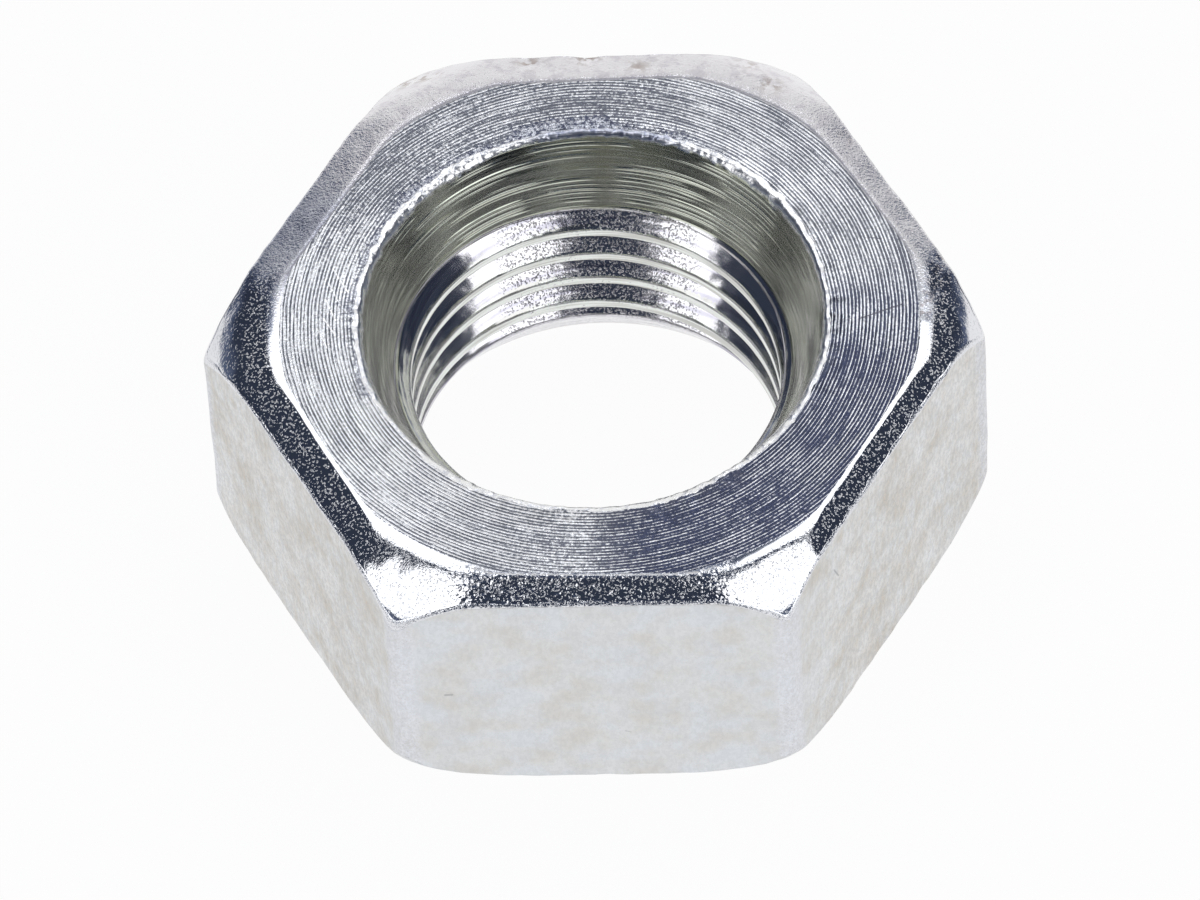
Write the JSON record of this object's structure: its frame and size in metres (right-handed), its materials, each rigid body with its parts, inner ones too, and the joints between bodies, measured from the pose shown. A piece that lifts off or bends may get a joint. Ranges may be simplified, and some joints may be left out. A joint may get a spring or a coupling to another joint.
{
  "type": "hexagon nut",
  "caption": "Thin zinc-plated steel hexagon nut with a turned seating face, a deep recess over a fine thread and a forged, domed shoulder.",
  "frame": {"origin": "on the axis of the threaded hole, in the plane of the underside", "axes": "+Z along the hole, out through the turned face with the recess; +X through a corner; -Y out of a flat"},
  "size_m": [0.0196, 0.017, 0.0078],
  "materials": {
    "zinc_plate": "bright zinc plate over steel: turned grooves on the seating face, glossy forged shoulder, satin flats"
  },
  "bodies": {
    "root": {"hex_nut": "zinc_plate"}
  },
  "joints": []
}
